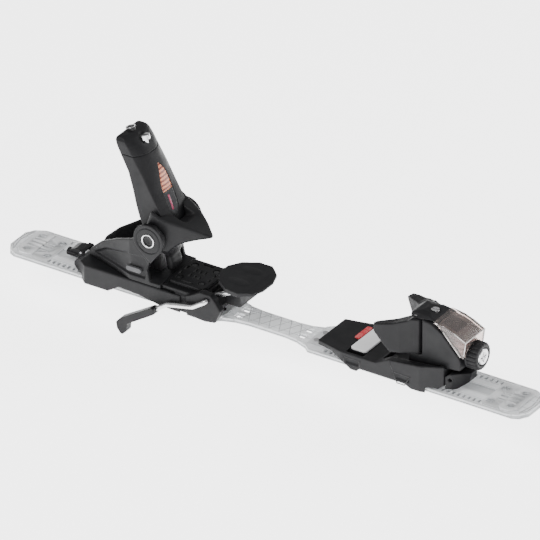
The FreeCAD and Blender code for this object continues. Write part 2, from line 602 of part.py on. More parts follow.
# heel frame: a floor and two side arms that carry the axle
arm_side = prism("arm_side", "XZ_Plane", (-d.arm_outer, d.arm_outer),
                 [(-231, d.floor_low), (-226, 35), (-212, 48), (-187, 63), (-160, 76), (-156, 88),
                  (-146, 98),
                  (-132, 99), (-121, 90), (-119.5, 80), (-124, 69), (-138, 54), (-141, 42),
                  (-138, d.floor_top),
                  (-124.4, d.floor_top), (-124.4, d.floor_low)])
arm_plan = prism("arm_plan", "XY_Plane", (0, 120),
                 both([(-237, -13), (-214, -19), (-187, -28), (-164, -d.arm_outer),
                       (-110, -d.arm_outer)]))
arm_inside = prism("arm_inside", "XY_Plane", (d.floor_top, 130),
                   both([(-240, -9), (-214, -14.5), (-187, -23.5), (-164, -d.arm_inner),
                         (-100, -d.arm_inner)]))
side_recess = prism("side_recess", "XZ_Plane", (-60, 60),
                    [(-222, 31), (-203, 44), (-170, 55), (-146, 57), (-140, 50), (-144, 31)])
recess_keep = prism("recess_keep", "XY_Plane", (0, 120),
                    both([(-250, -8), (-214, -16.5), (-187, -25.5), (-164, -33.5), (-100, -33.5)]))
axle_bore = cylinder("frame_axle_bore", "Y", d.axle_x, (-60, 60), d.axle_z, d.axle_radius + 0.03)
node("heel_frame", cut("frame", common("frame_block", arm_side, arm_plan), arm_inside, axle_bore,
                       cut("recess", side_recess, recess_keep)))

covers = []
for side in (-1, 1):
    span = ((d.arm_outer, d.arm_outer + 3) if side > 0 else (-d.arm_outer - 3, -d.arm_outer))
    disc = cylinder("boss_disc%d" % side, "Y", d.axle_x, span, d.axle_z, d.boss_radius)
    tip = prism("boss_tip%d" % side, "XZ_Plane", span,
                [(d.axle_x - 15.5, d.axle_z - 11), (d.axle_x + 3, d.axle_z - 27),
                 (d.axle_x + 17, d.axle_z - 8)])
    hole = cylinder("boss_hole%d" % side, "Y", d.axle_x, (-60, 60), d.axle_z, d.axle_radius + 0.03)
    groove_out = cylinder("boss_groove_out%d" % side, "Y", d.axle_x,
                          (d.arm_outer + 2.2, 60) if side > 0 else (-60, -d.arm_outer - 2.2),
                          d.axle_z, 15.5)
    groove_in = cylinder("boss_groove_in%d" % side, "Y", d.axle_x, (-61, 61), d.axle_z, 14.2)
    covers.append(cut("boss_cover%d" % side, fuse("boss%d" % side, disc, tip), hole,
                      cut("boss_groove%d" % side, groove_out, groove_in)))
node("boss_covers", group("bosses", *covers))
axle_bar = cylinder("axle_bar", "Y", d.axle_x, (-d.axle_half, d.axle_half), d.axle_z, d.axle_radius)
axle_hole = cylinder("axle_hole", "Y", d.axle_x, (-50, 50), d.axle_z, d.axle_hollow)
node("heel_axle", cut("axle", axle_bar, axle_hole))
cam_ring = cylinder("cam_ring", "Y", d.axle_x, (-d.cam_half, d.cam_half), d.axle_z, d.cam_radius)
cam_post = prism("cam_post", "XZ_Plane", (-d.cam_half, d.cam_half),
                 [(-162, d.floor_top), (-152, 72), (-143, 72), (-141, d.floor_top)])
cam_bore = cylinder("cam_bore", "Y", d.axle_x, (-60, 60), d.axle_z, d.axle_radius + 0.03)
node("heel_cam", cut("cam", fuse("cam_block", cam_ring, cam_post), cam_bore))
buttons = []
for side in (-1, 1):
    span = (33.5, 36.8) if side > 0 else (-36.8, -33.5)
    block = box("side_button_block%d" % side, (-168, -149), span, (35.6, 41.2))
    buttons.append(rounded("side_button%d" % side, block, 2.7, Vector(0, 1, 0)))
node("side_buttons", group("buttons", *buttons))

# heel lever: the housing of the release spring and the handle to step out with
lever_tilt = Vector(-26.0, 0, 89.0).normalize()
lever_foot = Vector(-142.0, 0, 97.0)
lever_side = [(-158.5, 96), (-163, 111), (-167, 128), (-173, 149), (-183, 167), (-177, 173),
              (-166, 167.5), (-160, 157), (-140, 123), (-131, 107), (-124.5, 94), (-124, 86), (-150, 82)]
lever_crown = [(-158, 100), (-173, 149), (-182, 166), (-159.5, 169.8), (-149, 158), (-143.5, 138),
               (-135, 121),
               (-128.5, 106), (-126, 100)]
lever_wide = prism("lever_wide", "XZ_Plane", (-d.lever_half, d.lever_half), lever_side)
lever_deep = prism("lever_deep", "XZ_Plane", (-13, 13), lever_crown)
lever_hub = cylinder("lever_hub", "Y", d.axle_x, (-d.lever_half + 0.4, d.lever_half - 0.4), d.axle_z,
                     d.hub_radius)
lever_bore = cylinder("lever_bore", "Y", d.axle_x, (-60, 60), d.axle_z, d.axle_radius + d.running)
lever_slot = cylinder("lever_slot", "Y", d.axle_x, (-d.cam_half - 0.5, d.cam_half + 0.5), d.axle_z,
                      d.hub_radius + 0.6)
spring_tube = slanted("spring_tube", lever_foot.sub(lever_tilt * 4), lever_tilt, d.bore_radius, 57.6)
screw_tube = slanted("screw_tube", lever_foot, lever_tilt, 2.7, 100)
front_recess = prism("front_recess", "XZ_Plane", (-11, 11),
                     [(-147, 158), (-151, 158), (-145.7, 138), (-137, 120.5), (-131.5, 108), (-128, 108),
                      (-133.5, 121), (-142, 138.5)])
node("heel_lever", cut("lever", fuse("lever_body", lever_wide, lever_deep, lever_hub), lever_bore,
                       lever_slot,
                       spring_tube, screw_tube, front_recess))
cap_wide = prism("cap_wide", "XZ_Plane", (-d.lever_half, d.lever_half),
                 [(-183.2, 167.6), (-188, 176), (-191, 185), (-186, 188.5), (-175, 184), (-166.6, 168.2),
                  (-177, 173.6)])
cap_deep = prism("cap_deep", "XZ_Plane", (-13, 13),
                 [(-182.2, 166.8), (-190, 183.4), (-186, 187), (-173, 186.6), (-167.4, 182.6),
                  (-159.2, 170.6)])
cap_mouth = slanted("cap_mouth", lever_foot.add(lever_tilt * 84), lever_tilt, 6.6, 30)
disc_axis = Vector(-0.30, 0, 0.954)
disc_foot = Vector(-184.4, 0, 186.0)
disc_seat = slanted("disc_seat", disc_foot, disc_axis, 5.8, 30)
cap_front = prism("cap_front", "YZ_Plane", (-200, -140),
                  both_sides([(0, 190), (15, 189), (20.5, 186.4), (d.lever_half, 181.5),
                              (d.lever_half, 160)]))
cap_seat = prism("cap_seat", "XZ_Plane", (-30, 30),
                 [(-184, 160), (-183.2, 167.2), (-177, 173.4), (-166, 169.2), (-162, 160)])
cap_body = common("cap_bevelled", fuse("cap_body", cap_wide, cap_deep), cap_front)
node("heel_lever_cap", carve("cap", cap_body, cap_seat, cap_mouth, screw_tube, disc_seat))
node("heel_cap_disc", slanted("cap_disc", disc_foot.add(disc_axis * 0.05), disc_axis, 5.6, 4.0))

window_band = prism("window_band", "XZ_Plane", (-10.8, 10.8),
                    [(-148.6, 156.5), (-150.6, 156.5), (-145.2, 137.8), (-136.9, 120.6), (-131.0, 108.4),
                     (-129.2, 108.6), (-135.2, 121.2), (-143.4, 138.1)])
window_leaf = prism("window_leaf", "YZ_Plane", (-160, -120),
                    [(0, 157), (8, 146), (10.6, 128), (5, 110), (-5, 110), (-10.6, 128), (-8, 146)])
node("heel_window", common("heel_glass", window_band, window_leaf))
node("heel_spring", spring("heel_coil", lever_foot.add(lever_tilt * 13), lever_tilt,
                           d.heel_spring_radius.number, d.heel_spring_wire.number, 30.5, 8))
node("heel_cam_follower", slanted("follower", lever_foot.add(lever_tilt * 0.4), lever_tilt,
                                  d.bore_radius - 0.1, 10.6))
heel_seat_disc = slanted("heel_seat_disc", lever_foot.add(lever_tilt * 46), lever_tilt,
                         d.bore_radius - 0.1, 4)
heel_seat_hole = slanted("heel_seat_hole", lever_foot.add(lever_tilt * 40), lever_tilt, 2.56, 20)
node("heel_indicator", cut("heel_seat", heel_seat_disc, heel_seat_hole))
screw_stem = slanted("screw_stem", lever_foot.add(lever_tilt * 45), lever_tilt, 2.5, 43)
screw_head = slanted("screw_head", lever_foot.add(lever_tilt * 87), lever_tilt, 5.6, 5.0)
screw_cut = doc.addObject("Part::Box", "screw_cut")
for prop, size in (("Length", 40), ("Width", 1.8), ("Height", 6)):
    bind(screw_cut, prop, size)
turned = FreeCAD.Rotation(Vector(0, 0, 1), lever_tilt)
screw_cut.Placement = FreeCAD.Placement(
    lever_foot.add(lever_tilt * 90.4).add(turned.multVec(Vector(-20, -0.9, 0))), turned)
node("heel_adjust_screw", cut("adjust_screw", fuse("adjust_bar", screw_stem, screw_head), screw_cut))

# heel cup: side arms on the axle, a beak over the boot's heel and a middle spur that the heel steps on
cup_profile = prism("cup_profile", "XZ_Plane", (-d.cup_outer, d.cup_outer),
                    [(-141, 113.5), (-148, 92), (-150, 78), (-146, 68), (-137, 66), (-137, 56),
                     (-133, 32.5),
                     (-127, 32.5), (-125, 36), (-125, 44), (-128, 50), (-125.5, 58), (-118, 69),
                     (-109.6, 76.7),
                     (-95, 81.5), (-79.5, 83.6), (-79.5, 86.4), (-93, 94), (-107, 100.4), (-122, 104.6),
                     (-132, 108)])
cup_plan = prism("cup_plan", "XY_Plane", (20, 130),
                 both([(-155, -d.cup_outer), (-134, -30), (-122, -26.8), (-107, -20.6), (-93, -12.4),
                       (-79.5, -2)]))
cup_front = prism("cup_front", "YZ_Plane", (-170, -60),
                  both_sides([(0, 120), (d.cup_outer, 116), (d.cup_outer, 69), (24, 64), (10.5, 51),
                              (10, 31)]))
cup_notch = prism("cup_notch", "XZ_Plane", (-10.5, 10.5),
                  [(-145, 95.5), (-119, 95.5), (-100, 101.5), (-100, 130), (-145, 130)])
cup_lever_space = prism("cup_lever_space", "XZ_Plane", (-d.cup_inner, d.cup_inner),
                        [(-170, d.axle_z), (-170, 140), (-146, 134), (-138.6, 122), (-129.5, 106.4),
                         (-123.4, 94),
                         (-121.5, 84), (-122.4, d.axle_z)])
cup_hub_space = cylinder("cup_hub_space", "Y", d.axle_x, (-d.cup_inner, d.cup_inner), d.axle_z,
                         d.hub_radius + 0.6)
cup_crown_space = prism("cup_crown_space", "XZ_Plane", (-13.6, 13.6),
                        [(-170, d.axle_z), (-170, 140), (-142.6, 138.6), (-133.8, 121.4), (-127.2, 106.6),
                         (-122, 94), (-122.4, d.axle_z)])
cup_bore = cylinder("cup_bore", "Y", d.axle_x, (-60, 60), d.axle_z, d.axle_radius + d.running)
node("heel_cup", carve("cup", common("cup_block", cup_profile, cup_plan, cup_front), cup_lever_space,
                       cup_hub_space, cup_crown_space, cup_notch, cup_bore))

# ---------------------------------------------------------------- brake

housing_floor = prism("housing_floor", "XY_Plane", (d.floor_low, d.floor_top),
                      both([(-124, -33), (-84, -33), (-76, -27), (-74, -27)]))
housing_nose = box("housing_nose", (-92, -54), (-32, 32), (14.5, 19.5))
towers = []
for side in (-1, 1):
    inner, outer = (d.tower_inner, d.tower_outer) if side > 0 else (-d.tower_outer, -d.tower_inner)
    tower = prism("tower%d" % side, "XZ_Plane", (inner, outer),
                  [(-91, 14.5), (-92, 26), (-84, 30), (-74, 36), (-60, 36), (-54, 30), (-47, 20),
                   (-54, 4), (-66, 2), (-90.4, 3)])
    y = (33.0, 34.6) if side > 0 else (-34.6, -33.0)
    tail = box("tower_tail%d" % side, (-107, -90), y, (4, 24.2))
    towers += [tower, tail]
plate_space = box("plate_space", (-120, -40), (-30.9, 30.9), (-1, 5.9))
wire_bore = cylinder("wire_bore", "Y", d.pivot_x, (-60, 60), d.pivot_z, d.wire_radius + d.running)
crank_space = box("crank_space", (-73, -50), (-d.tower_inner, d.tower_inner), (19.6, 60))
wall = box("housing_wall", (-84, -76), (-30, 30), (14.5, 29))
housing_block = fuse("housing_block", housing_floor, housing_nose, wall, *towers)
node("brake_housing", cut("housing", housing_block, plate_space, wire_bore, crank_space))
pad_block = box("pad_block", (d.pad_rear, d.pad_front), (-d.pad_half, d.pad_half),
                (d.floor_top, d.pad_top))
pad_slab = rounded("pad_slab", pad_block, 6.0, Vector(0, 0, 1))
pad_holes = [cylinder("pad_hole%d%d" % (i, j), "Z", -99 + 14 * i, 15 * j, (d.pad_top - 2, 40), 4.2)
             for i in (-1, 1) for j in (-1, 1)]
node("heel_pad", cut("pad", pad_slab, *pad_holes))
bolts = [cylinder("housing_bolt%d%d" % (i, j), "Z", -99 + 14 * i, 15 * j,
                  (d.pad_top - 1.9, d.pad_top - 0.6), 3.2) for i in (-1, 1) for j in (-1, 1)]
node("housing_screws", group("bolts", *bolts))

wire = d.wire_radius.number
for side, name in ((-1, "right"), (1, "left")):
    route = [(d.rod_x, 10.5, d.rod_z), (d.rod_x, 23, d.rod_z), (d.pivot_x, 23, d.pivot_z),
             (d.pivot_x, d.arm_y, d.pivot_z), (-80, d.arm_y, 18.5), (-112, d.arm_y, 11.5),
             (d.foot_x, 44, d.foot_z)]
    corners = [Vector(of(x).number, side * of(y).number, of(z).number) for x, y, z in route]
    node("brake_arm_" + name, bent_wire(name + "_wire", corners, wire, 3.6))
    foot_span = (38.6, 49.0) if side > 0 else (-49.0, -38.6)
    foot = prism(name + "_foot_side", "XZ_Plane", foot_span,
                 [(-126, 7), (-168, -19), (-173.4, -25), (-172, -32.5), (-166, -39.5), (-160, -33.5),
                  (-159, -24), (-124, -1.4)])
    hollow = bent_wire(name + "_wire_space", corners[3:], wire + 0.06, 3.6)
    soft_foot = rounded(name + "_foot_round", foot, 2.5, Vector(0, 1, 0))
    node("brake_foot_" + name, cut(name + "_foot", soft_foot, hollow))

pedal_plan = prism("pedal_plan", "XY_Plane", (d.pedal_low, d.pedal_top),
                   both([(d.pedal_rear, -9), (-58, -23), (-42, -34), (-26, -d.pedal_half), (-14, -25),
                         (d.pedal_front, -10)]))
pedal_side = prism("pedal_side", "XZ_Plane", (-40, 40),
                   [(-70, 46.4), (-66, 51), (-20, 49.4), (-8, 46.4), (-8, 43), (-16, 43)])
node("brake_pedal", common("pedal", pedal_plan, pedal_side))
lug_y = {-1: (-17, -8.5), 1: (8.5, 17)}
lugs = [box("clip_lug%d" % s, (-53.5, -34), lug_y[s], (20, d.pedal_low)) for s in (-1, 1)]
clip_bridge = box("clip_bridge", (-53.5, -34), (-9, 9), (20, 34))
clip_bore = cylinder("clip_bore", "Y", d.rod_x, (-60, 60), d.rod_z, d.wire_radius + d.running)
node("pedal_clip", cut("clip", fuse("clip_block", clip_bridge, *lugs), clip_bore))

# ---------------------------------------------------------------- finish

doc.recompute()
for thing in doc.Objects:
    bad = [word for word in thing.State if word in ("Invalid", "Error")]
    if bad:
        raise RuntimeError("%s is %s" % (thing.Label, bad))
for thing in nodes:
    if thing.Shape.isNull() or not thing.Shape.isValid():
        raise RuntimeError("%s has no valid shape" % thing.Label)

os.makedirs("parts", exist_ok=True)
for thing in nodes:
    thing.Shape.exportStep("parts/%s.step" % thing.Label)
    print("%-26s %2d solids %9.0f mm3" % (thing.Label, len(thing.Shape.Solids), thing.Shape.Volume))
print(len(nodes), "nodes")
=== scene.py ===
import json
import math

import bmesh
import bpy
from mathutils import Matrix, Vector


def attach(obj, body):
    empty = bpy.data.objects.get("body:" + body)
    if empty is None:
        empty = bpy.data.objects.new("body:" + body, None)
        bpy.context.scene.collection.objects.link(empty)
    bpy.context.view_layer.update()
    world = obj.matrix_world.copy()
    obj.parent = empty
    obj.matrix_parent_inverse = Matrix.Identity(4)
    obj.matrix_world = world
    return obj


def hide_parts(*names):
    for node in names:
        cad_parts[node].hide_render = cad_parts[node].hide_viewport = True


# A ski binding on a translucent rail plate. Lengths in this file are millimetres,
# in the CAD's frame: +X to the ski's tip, +Y to its left, +Z up.

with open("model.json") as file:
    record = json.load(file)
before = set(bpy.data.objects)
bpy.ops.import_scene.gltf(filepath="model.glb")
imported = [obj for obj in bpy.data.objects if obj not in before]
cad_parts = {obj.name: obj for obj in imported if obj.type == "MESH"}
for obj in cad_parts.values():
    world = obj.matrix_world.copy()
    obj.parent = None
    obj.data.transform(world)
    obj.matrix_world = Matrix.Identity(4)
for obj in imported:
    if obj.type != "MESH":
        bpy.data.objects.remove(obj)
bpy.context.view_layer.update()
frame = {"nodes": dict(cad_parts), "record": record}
nodes = frame["nodes"]
behaviour = frame["record"]["behaviour"]
body_of = {node: body for body, members in behaviour["bodies"].items() for node in members}
slot_of = {part["node"]: part["material_slot"] for part in frame["record"]["subparts"]}
MM = 0.001


# ---------------------------------------------------------------- materials

def new_material(name):
    material = bpy.data.materials.new(name)
    material.use_nodes = True
    tree = material.node_tree
    return material, tree, tree.nodes["Principled BSDF"]


def noise_node(tree, scale, detail=3.0, stretch=(1, 1, 1)):
    """A noise pattern in object space; scale is in features per metre."""
    where = tree.nodes.new("ShaderNodeTexCoord")
    mapping = tree.nodes.new("ShaderNodeMapping")
    mapping.inputs["Scale"].default_value = stretch
    pattern = tree.nodes.new("ShaderNodeTexNoise")
    pattern.inputs["Scale"].default_value = scale
    pattern.inputs["Detail"].default_value = detail
    tree.links.new(where.outputs["Object"], mapping.inputs["Vector"])
    tree.links.new(mapping.outputs["Vector"], pattern.inputs["Vector"])
    return pattern.outputs["Fac"]


def ramp_node(tree, value, stops):
    """Colours between (position, colour) stops."""
    ramp = tree.nodes.new("ShaderNodeValToRGB")
    elements = ramp.color_ramp.elements
    while len(elements) < len(stops):
        elements.new(0.5)
    for element, (position, colour) in zip(elements, stops):
        element.position = position
        element.color = (*colour, 1)
    tree.links.new(value, ramp.inputs["Fac"])
    return ramp.outputs["Color"]


def range_node(tree, value, low, high, start=0.3, end=0.7):
    spread = tree.nodes.new("ShaderNodeMapRange")
    spread.inputs["From Min"].default_value = start
    spread.inputs["From Max"].default_value = end
    spread.inputs["To Min"].default_value = low
    spread.inputs["To Max"].default_value = high
    tree.links.new(value, spread.inputs["Value"])
    return spread.outputs["Result"]


def mix_node(tree, factor, first, second):
    mix = tree.nodes.new("ShaderNodeMix")
    mix.data_type = "RGBA"
    tree.links.new(factor, mix.inputs["Factor"])
    tree.links.new(first, mix.inputs["A"])
    tree.links.new(second, mix.inputs["B"])
    return mix.outputs["Result"]


def bump_node(tree, shader, height, strength, distance):
    bump = tree.nodes.new("ShaderNodeBump")
    bump.inputs["Strength"].default_value = strength
    bump.inputs["Distance"].default_value = distance
    tree.links.new(height, bump.inputs["Height"])
    tree.links.new(bump.outputs["Normal"], shader.inputs["Normal"])


def edge_mask(tree, start, end):
    """White along worn outer edges."""
    geometry = tree.nodes.new("ShaderNodeNewGeometry")
    return range_node(tree, geometry.outputs["Pointiness"], 0.0, 1.0, start, end)


def moulded_plastic(name, dark, light, worn, rough_low, rough_high, grain=2600, depth=0.16,
                    shine=0.16):
    """Moulded plastic: uneven tone, fine spark-eroded grain, edges rubbed lighter."""
    material, tree, shader = new_material(name)
    tone = ramp_node(tree, noise_node(tree, 45, 4), [(0.3, dark), (0.7, light)])
    rubbed = ramp_node(tree, noise_node(tree, 400, 3), [(0.35, light), (0.65, worn)])
    colour = mix_node(tree, edge_mask(tree, 0.53, 0.62), tone, rubbed)
    tree.links.new(colour, shader.inputs["Base Color"])
    gloss = range_node(tree, noise_node(tree, 120, 5), rough_low, rough_high)
    tree.links.new(gloss, shader.inputs["Roughness"])
    shader.inputs["Specular IOR Level"].default_value = shine
    bump_node(tree, shader, noise_node(tree, grain, 2), depth, 0.0002)
    return material


def metal(name, dark, light, rough_low, rough_high, stretch=(1, 1, 1)):
    """Plated metal with drawing marks and patches of handling."""
    material, tree, shader = new_material(name)
    shader.inputs["Metallic"].default_value = 1.0
    colour = ramp_node(tree, noise_node(tree, 90, 4), [(0.3, dark), (0.7, light)])
    tree.links.new(colour, shader.inputs["Base Color"])
    marks = noise_node(tree, 700, 3, stretch)
    tree.links.new(range_node(tree, marks, rough_low, rough_high), shader.inputs["Roughness"])
    bump_node(tree, shader, marks, 0.08, 0.0001)
    return material


def clear_plastic(name, dark, light, rough_low, rough_high, transmission, ior=1.45):
    """See-through plastic with a faint flow pattern."""
    material, tree, shader = new_material(name)
    shader.inputs["Transmission Weight"].default_value = transmission
    shader.inputs["IOR"].default_value = ior
    colour = ramp_node(tree, noise_node(tree, 30, 3), [(0.3, dark), (0.7, light)])
    tree.links.new(colour, shader.inputs["Base Color"])
    gloss = range_node(tree, noise_node(tree, 200, 4), rough_low, rough_high)
    tree.links.new(gloss, shader.inputs["Roughness"])
    bump_node(tree, shader, noise_node(tree, 900, 2), 0.05, 0.0002)
    return material


def frosted_with_painted_shade(name, full_shade_level, top, transmission=0.35):
    """Milky plastic, pale on top, with painted shade: greyer the lower a surface lies, so down in its slots,
    and greyer along its moulded lines.
    """
    material, tree, shader = new_material(name)
    shader.inputs["Transmission Weight"].default_value = transmission
    shader.inputs["IOR"].default_value = 1.3
    where = tree.nodes.new("ShaderNodeTexCoord")
    axes = tree.nodes.new("ShaderNodeSeparateXYZ")
    tree.links.new(where.outputs["Object"], axes.inputs["Vector"])
    # Painted shade: the grey laid on low surfaces, such as slot floors and sides, and on the moulded lines.
    sunk = ramp_node(tree, noise_node(tree, 60, 3), [(0.3, (0.34, 0.35, 0.36)), (0.7, (0.50, 0.51, 0.52))])
    pale = ramp_node(tree, noise_node(tree, 35, 4), [(0.3, (0.91, 0.92, 0.93)), (0.7, (0.97, 0.98, 0.99))])
    # Painted shade by height: full grey at the lower level, fading to none at the top level.
    height = range_node(tree, axes.outputs["Z"], 0.0, 1.0, full_shade_level * MM, top * MM)
    body = mix_node(tree, height, sunk, pale)
    across = tree.nodes.new("ShaderNodeMath")
    across.operation = "ABSOLUTE"
    tree.links.new(axes.outputs["Y"], across.inputs[0])
    place = range_node(tree, across.outputs[0], 0.0, 1.0, 0.0, PLATE_HALF * MM)
    # Painted shade: thin grey lines at each moulded line's distance from the middle.
    lines = []
    for line in PLATE_SHADE_LINES:
        middle = line / PLATE_HALF
        lines.extend([(middle - SHADE_LINE_EDGE, (0, 0, 0)), (middle, (0.8, 0.8, 0.8)),
                      (middle + SHADE_LINE_EDGE, (0, 0, 0))])
    drawn = ramp_node(tree, place, lines)
    # The colour: painted shade grey on the lines and on low surfaces, pale elsewhere.
    tree.links.new(mix_node(tree, drawn, body, sunk), shader.inputs["Base Color"])
    tree.links.new(range_node(tree, noise_node(tree, 200, 4), 0.30, 0.45), shader.inputs["Roughness"])
    bump_node(tree, shader, noise_node(tree, 900, 2), 0.05, 0.0002)
    return material


def striped(name, light, dark, gloss, spacing):
    """Printed stripes a few millimetres apart, a little smudged."""
    material, tree, shader = new_material(name)
    where = tree.nodes.new("ShaderNodeTexCoord")
    wave = tree.nodes.new("ShaderNodeTexWave")
    wave.bands_direction = "Z"
    wave.inputs["Scale"].default_value = math.pi / (10 * spacing * MM)
    wave.inputs["Distortion"].default_value = 0.6
    tree.links.new(where.outputs["Object"], wave.inputs["Vector"])
    ink = ramp_node(tree, wave.outputs["Fac"], [(0.42, dark), (0.58, light)])
    faded = ramp_node(tree, noise_node(tree, 300, 3), [(0.3, light), (0.7, dark)])
    amount = range_node(tree, noise_node(tree, 150, 3), 0.0, 0.35)
    tree.links.new(mix_node(tree, amount, ink, faded), shader.inputs["Base Color"])
    tree.links.new(range_node(tree, noise_node(tree, 200, 3), gloss, gloss + 0.1), shader.inputs["Roughness"])
    bump_node(tree, shader, wave.outputs["Fac"], 0.15, 0.0002)
    return material


# The rail plate's half width, how far from its middle its moulded lines run, where thin lines of grey painted
# shade are drawn, and how quickly such a line fades to each side as a share of that half width.
PLATE_HALF = 30.5
PLATE_SHADE_LINES = (8.2, 17.6, 28.2)
SHADE_LINE_EDGE = 0.022
BLACK = (0.008, 0.008, 0.009)
SOOT = (0.013, 0.013, 0.014)
WORN = (0.034, 0.034, 0.035)

paint = {
    "black_plastic": moulded_plastic("black_plastic", BLACK, SOOT, WORN, 0.40, 0.52),
    "dark_gloss": moulded_plastic("dark_gloss", BLACK, SOOT, WORN, 0.14, 0.22, grain=500, depth=0.03),
    "grey_plastic": moulded_plastic("grey_plastic", (0.06, 0.06, 0.063), (0.085, 0.085, 0.09),
                                    (0.14, 0.14, 0.14), 0.38, 0.50),
    "white_plastic": moulded_plastic("white_plastic", (0.78, 0.78, 0.78), (0.86, 0.86, 0.86), (0.9, 0.9, 0.9),
                                     0.28, 0.40, grain=900, depth=0.05),
    "red_trim": moulded_plastic("red_trim", (0.42, 0.01, 0.02), (0.55, 0.02, 0.03), (0.7, 0.2, 0.2),
                                0.25, 0.38),
    "copper_scale": moulded_plastic("copper_scale", (0.60, 0.22, 0.13), (0.72, 0.30, 0.19), (0.8, 0.5, 0.4),
                                    0.30, 0.42),
    "steel": metal("steel", (0.30, 0.30, 0.31), (0.42, 0.42, 0.43), 0.30, 0.45),
    "spring_steel": metal("spring_steel", (0.20, 0.20, 0.21), (0.30, 0.30, 0.31), 0.32, 0.48),
    "bright_steel": metal("bright_steel", (0.56, 0.56, 0.57), (0.72, 0.72, 0.73), 0.16, 0.28, (1, 12, 1)),
    # The plate and the strip: painted shade grey below the first height, pale above the second.
    "clear_plate": frosted_with_painted_shade("clear_plate", 3.2, 5.2),
    "clear_strip": frosted_with_painted_shade("clear_strip", 1.5, 4.0),
    "mottled_plate": moulded_plastic("mottled_plate", (0.50, 0.51, 0.52), (0.82, 0.83, 0.84), (0.9, 0.9, 0.9),
                                     0.30, 0.45, grain=700, depth=0.3),
    # Painted shade: grey for the plate's ribs, which are of the plate's own milky plastic.
    "plate_rib_shade": moulded_plastic("plate_rib_shade", (0.36, 0.37, 0.38), (0.50, 0.51, 0.52), (0.6, 0.6, 0.6),
                                  0.30, 0.45, grain=700, depth=0.1),
    "clear_rim": clear_plastic("clear_rim", (0.80, 0.76, 0.74), (0.92, 0.88, 0.86), 0.05, 0.12, 0.35),
    "copper_stripes": striped("copper_stripes", (0.70, 0.27, 0.15), (0.16, 0.03, 0.02), 0.18, 4.4),
    "magenta_streak": moulded_plastic("magenta_streak", (0.16, 0.02, 0.05), (0.32, 0.03, 0.09),
                                      (0.4, 0.1, 0.15), 0.12, 0.2, grain=400, depth=0.02),
    "pink_drum": striped("pink_drum", (0.80, 0.52, 0.47), (0.30, 0.12, 0.10), 0.22, 4.6),
    "smoked_plate": moulded_plastic("smoked_plate", (0.022, 0.022, 0.024), (0.036, 0.036, 0.038),
                                    (0.05, 0.05, 0.05), 0.26, 0.36, grain=2600, depth=0.02),
    "tinted_top": moulded_plastic("tinted_top", (0.11, 0.095, 0.09), (0.17, 0.15, 0.14), (0.20, 0.18, 0.17),
                                  0.28, 0.38, grain=2600, depth=0.02),
    "clear_window": clear_plastic("clear_window", (0.72, 0.63, 0.60), (0.84, 0.75, 0.72), 0.03, 0.07, 0.95),
}


# ---------------------------------------------------------------- mesh helpers

def finish_piece(piece, body, slot, replaced, material=None):
    piece.data.materials.clear()
    piece.data.materials.append(paint[material or slot])
    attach(piece, body)
    if replaced:
        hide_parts(*replaced)
    return piece


def new_object(name, mesh):
    piece = bpy.data.objects.new(name, mesh)
    bpy.context.scene.collection.objects.link(piece)
    return piece


def apply_modifiers(piece):
    bpy.context.view_layer.update()
    evaluated = piece.evaluated_get(bpy.context.evaluated_depsgraph_get())
    mesh = bpy.data.meshes.new_from_object(evaluated)
    piece.modifiers.clear()
    piece.data = mesh
    for face in mesh.polygons:
        face.use_smooth = True


def skin(piece, voxel, rounds):
    """Turns a faceted solid into a moulded one: even small faces, edges rounded by smoothing."""
    remesh = piece.modifiers.new("skin", "REMESH")
    remesh.mode = "VOXEL"
    remesh.voxel_size = voxel * MM
    smooth = piece.modifiers.new("soften", "SMOOTH")
    smooth.factor = 0.5
    smooth.iterations = rounds
    apply_modifiers(piece)


def rounded_copy(node, voxel, rounds):
    """A moulded version of one CAD node, which it stands for."""
    piece = new_object(node + "_skin", nodes[node].data.copy())
    skin(piece, voxel, rounds)
    return finish_piece(piece, body_of[node], slot_of[node], [node])


def mesh_object(name, points, faces):
    """An object from millimetre points, its faces turned outwards."""
    mesh = bpy.data.meshes.new(name)
    mesh.from_pydata([tuple(c * MM for c in point) for point in points], [], faces)
    work = bmesh.new()
    work.from_mesh(mesh)
    bmesh.ops.recalc_face_normals(work, faces=work.faces)
    work.to_mesh(mesh)
    work.free()
    for face in mesh.polygons:
        face.use_smooth = True
    return new_object(name, mesh)


def loft(name, rings, closed=False):
    """Skins a row of rings that have the same number of points; closed joins the last to the first."""
    count = len(rings[0])
    points = [point for ring in rings for point in ring]
    faces = []
    for level in range(len(rings) if closed else len(rings) - 1):
        low = level * count
        high = (level + 1) % len(rings) * count
        for i in range(count):
            j = (i + 1) % count
            faces.append((low + i, low + j, high + j, high + i))
    if not closed:
        faces.append(tuple(range(count)))
        faces.append(tuple(range(len(points) - count, len(points))))
    return mesh_object(name, points, faces)


def around(axis, centre, along, radius, angle):
    """A point at an angle about an axis through a centre."""
    a = radius * math.cos(angle)
    b = radius * math.sin(angle)
    offset = {"X": (along, a, b), "Y": (a, along, b), "Z": (a, b, along)}[axis]
    return tuple(c + o for c, o in zip(centre, offset))


def lathe(name, axis, centre, profile, closed=False, steps=96, ripple=None):
    """A turned piece: profile is a list of (distance along the axis, radius)."""
    rings = []
    for along, radius in profile:
        ring = []
        for k in range(steps):
            angle = 2 * math.pi * k / steps
            reach = radius * (ripple(angle, along) if ripple else 1)
            ring.append(around(axis, centre, along, reach, angle))
        rings.append(ring)
    return loft(name, rings, closed)


def spun(name, start, axis, profile, steps=48, closed=False):
    """A turned piece about a slanted axis that lies in the XZ plane."""
    across = Vector((0, 1, 0))
    other = axis.cross(across)
    rings = []
    for along, radius in profile:
        ring = []
        for k in range(steps):
            angle = 2 * math.pi * k / steps
            spoke = across * math.cos(angle) + other * math.sin(angle)
            ring.append(tuple(start + axis * along + radius * spoke))
        rings.append(ring)
    return loft(name, rings, closed)


